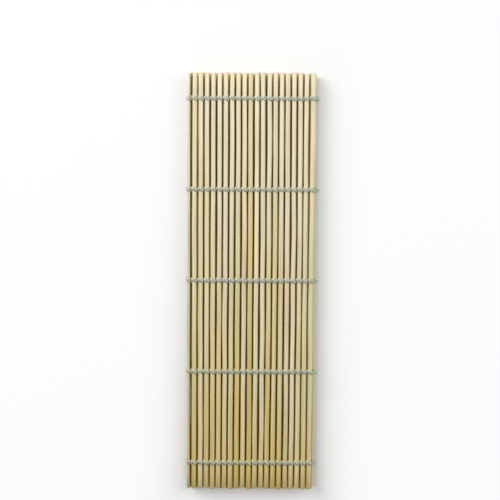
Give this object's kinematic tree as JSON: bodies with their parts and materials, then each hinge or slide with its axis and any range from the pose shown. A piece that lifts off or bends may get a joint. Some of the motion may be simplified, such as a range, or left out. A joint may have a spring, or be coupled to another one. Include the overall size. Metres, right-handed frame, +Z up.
{
  "type": "sushi rolling mat",
  "caption": "Bamboo sushi rolling mat of thin slats woven together with twisted cotton twine, folded flat in three layers, opening out and rolling up slat by slat",
  "frame": {"origin": "Centre of the folded mat's footprint, in the plane on which it lies", "axes": "+X across the slats, toward the free edge of the top layer; +Y along the slats; +Z up through the folded layers, out of the face that is seen"},
  "size_m": [0.0768, 0.24, 0.0105],
  "materials": {
    "bamboo": "planed, unfinished",
    "cotton": "twisted twine, matt"
  },
  "bodies": {
    "bottom_layer": {"bottom_slats": "bamboo", "bottom_twine_row_1": "cotton", "bottom_twine_row_2": "cotton", "bottom_twine_row_3": "cotton", "bottom_twine_row_4": "cotton", "bottom_twine_row_5": "cotton", "bottom_edge_knots": "cotton"},
    "right_fold": {"right_fold_slat": "bamboo", "right_fold_twine": "cotton"},
    "middle_layer": {"middle_slats": "bamboo", "middle_twine_row_1": "cotton", "middle_twine_row_2": "cotton", "middle_twine_row_3": "cotton", "middle_twine_row_4": "cotton", "middle_twine_row_5": "cotton"},
    "left_fold": {"left_fold_slat": "bamboo", "left_fold_twine": "cotton"},
    "top_01": {"top_slat_01": "bamboo", "top_twine_01": "cotton"},
    "top_02": {"top_slat_02": "bamboo", "top_twine_02": "cotton"},
    "top_03": {"top_slat_03": "bamboo", "top_twine_03": "cotton"},
    "top_04": {"top_slat_04": "bamboo", "top_twine_04": "cotton"},
    "top_05": {"top_slat_05": "bamboo", "top_twine_05": "cotton"},
    "top_06": {"top_slat_06": "bamboo", "top_twine_06": "cotton"},
    "top_07": {"top_slat_07": "bamboo", "top_twine_07": "cotton"},
    "top_08": {"top_slat_08": "bamboo", "top_twine_08": "cotton"},
    "top_09": {"top_slat_09": "bamboo", "top_twine_09": "cotton"},
    "top_10": {"top_slat_10": "bamboo", "top_twine_10": "cotton"},
    "top_11": {"top_slat_11": "bamboo", "top_twine_11": "cotton"},
    "top_12": {"top_slat_12": "bamboo", "top_twine_12": "cotton"},
    "top_13": {"top_slat_13": "bamboo", "top_twine_13": "cotton"},
    "top_14": {"top_slat_14": "bamboo", "top_twine_14": "cotton"},
    "top_15": {"top_slat_15": "bamboo", "top_twine_15": "cotton"},
    "top_16": {"top_slat_16": "bamboo", "top_twine_16": "cotton"},
    "top_17": {"top_slat_17": "bamboo", "top_twine_17": "cotton"},
    "top_18": {"top_slat_18": "bamboo", "top_twine_18": "cotton"},
    "top_19": {"top_slat_19": "bamboo", "top_twine_19": "cotton"},
    "top_20": {"top_slat_20": "bamboo", "top_twine_20": "cotton", "top_edge_knots": "cotton"}
  },
  "joints": [
    {"name": "right_fold_lower_hinge", "type": "hinge", "parent": "bottom_layer", "child": "right_fold", "pos_m": [0.03542, 0, 0.00153], "axis": [0, 1, 0], "range_deg": [0, 90]},
    {"name": "right_fold_upper_hinge", "type": "hinge", "parent": "right_fold", "child": "middle_layer", "pos_m": [0.03542, 0, 0.00515], "axis": [0, 1, 0], "range_deg": [0, 90]},
    {"name": "left_fold_lower_hinge", "type": "hinge", "parent": "middle_layer", "child": "left_fold", "pos_m": [-0.03653, 0, 0.00515], "axis": [0, -1, 0], "range_deg": [0, 90]},
    {"name": "left_fold_upper_hinge", "type": "hinge", "parent": "left_fold", "child": "top_01", "pos_m": [-0.03653, 0, 0.00877], "axis": [0, -1, 0], "range_deg": [0, 90]},
    {"name": "slat_hinge_01_02", "type": "hinge", "parent": "top_01", "child": "top_02", "pos_m": [-0.0313, 0, 0.00877], "axis": [0, -1, 0], "range_deg": [0, 15]},
    {"name": "slat_hinge_02_03", "type": "hinge", "parent": "top_02", "child": "top_03", "pos_m": [-0.02777, 0, 0.00877], "axis": [0, -1, 0], "range_deg": [0, 15]},
    {"name": "slat_hinge_03_04", "type": "hinge", "parent": "top_03", "child": "top_04", "pos_m": [-0.02423, 0, 0.00877], "axis": [0, -1, 0], "range_deg": [0, 15]},
    {"name": "slat_hinge_04_05", "type": "hinge", "parent": "top_04", "child": "top_05", "pos_m": [-0.02068, 0, 0.00877], "axis": [0, -1, 0], "range_deg": [0, 15]},
    {"name": "slat_hinge_05_06", "type": "hinge", "parent": "top_05", "child": "top_06", "pos_m": [-0.01715, 0, 0.00877], "axis": [0, -1, 0], "range_deg": [0, 15]},
    {"name": "slat_hinge_06_07", "type": "hinge", "parent": "top_06", "child": "top_07", "pos_m": [-0.01361, 0, 0.00877], "axis": [0, -1, 0], "range_deg": [0, 15]},
    {"name": "slat_hinge_07_08", "type": "hinge", "parent": "top_07", "child": "top_08", "pos_m": [-0.01006, 0, 0.00877], "axis": [0, -1, 0], "range_deg": [0, 15]},
    {"name": "slat_hinge_08_09", "type": "hinge", "parent": "top_08", "child": "top_09", "pos_m": [-0.00653, 0, 0.00877], "axis": [0, -1, 0], "range_deg": [0, 15]},
    {"name": "slat_hinge_09_10", "type": "hinge", "parent": "top_09", "child": "top_10", "pos_m": [-0.00298, 0, 0.00877], "axis": [0, -1, 0], "range_deg": [0, 15]},
    {"name": "slat_hinge_10_11", "type": "hinge", "parent": "top_10", "child": "top_11", "pos_m": [0.00056, 0, 0.00877], "axis": [0, -1, 0], "range_deg": [0, 15]},
    {"name": "slat_hinge_11_12", "type": "hinge", "parent": "top_11", "child": "top_12", "pos_m": [0.00409, 0, 0.00877], "axis": [0, -1, 0], "range_deg": [0, 15]},
    {"name": "slat_hinge_12_13", "type": "hinge", "parent": "top_12", "child": "top_13", "pos_m": [0.00764, 0, 0.00877], "axis": [0, -1, 0], "range_deg": [0, 15]},
    {"name": "slat_hinge_13_14", "type": "hinge", "parent": "top_13", "child": "top_14", "pos_m": [0.01117, 0, 0.00877], "axis": [0, -1, 0], "range_deg": [0, 15]},
    {"name": "slat_hinge_14_15", "type": "hinge", "parent": "top_14", "child": "top_15", "pos_m": [0.01472, 0, 0.00877], "axis": [0, -1, 0], "range_deg": [0, 15]},
    {"name": "slat_hinge_15_16", "type": "hinge", "parent": "top_15", "child": "top_16", "pos_m": [0.01826, 0, 0.00877], "axis": [0, -1, 0], "range_deg": [0, 15]},
    {"name": "slat_hinge_16_17", "type": "hinge", "parent": "top_16", "child": "top_17", "pos_m": [0.02179, 0, 0.00877], "axis": [0, -1, 0], "range_deg": [0, 15]},
    {"name": "slat_hinge_17_18", "type": "hinge", "parent": "top_17", "child": "top_18", "pos_m": [0.02533, 0, 0.00877], "axis": [0, -1, 0], "range_deg": [0, 15]},
    {"name": "slat_hinge_18_19", "type": "hinge", "parent": "top_18", "child": "top_19", "pos_m": [0.02888, 0, 0.00877], "axis": [0, -1, 0], "range_deg": [0, 15]},
    {"name": "slat_hinge_19_20", "type": "hinge", "parent": "top_19", "child": "top_20", "pos_m": [0.03241, 0, 0.00877], "axis": [0, -1, 0], "range_deg": [0, 15]}
  ]
}
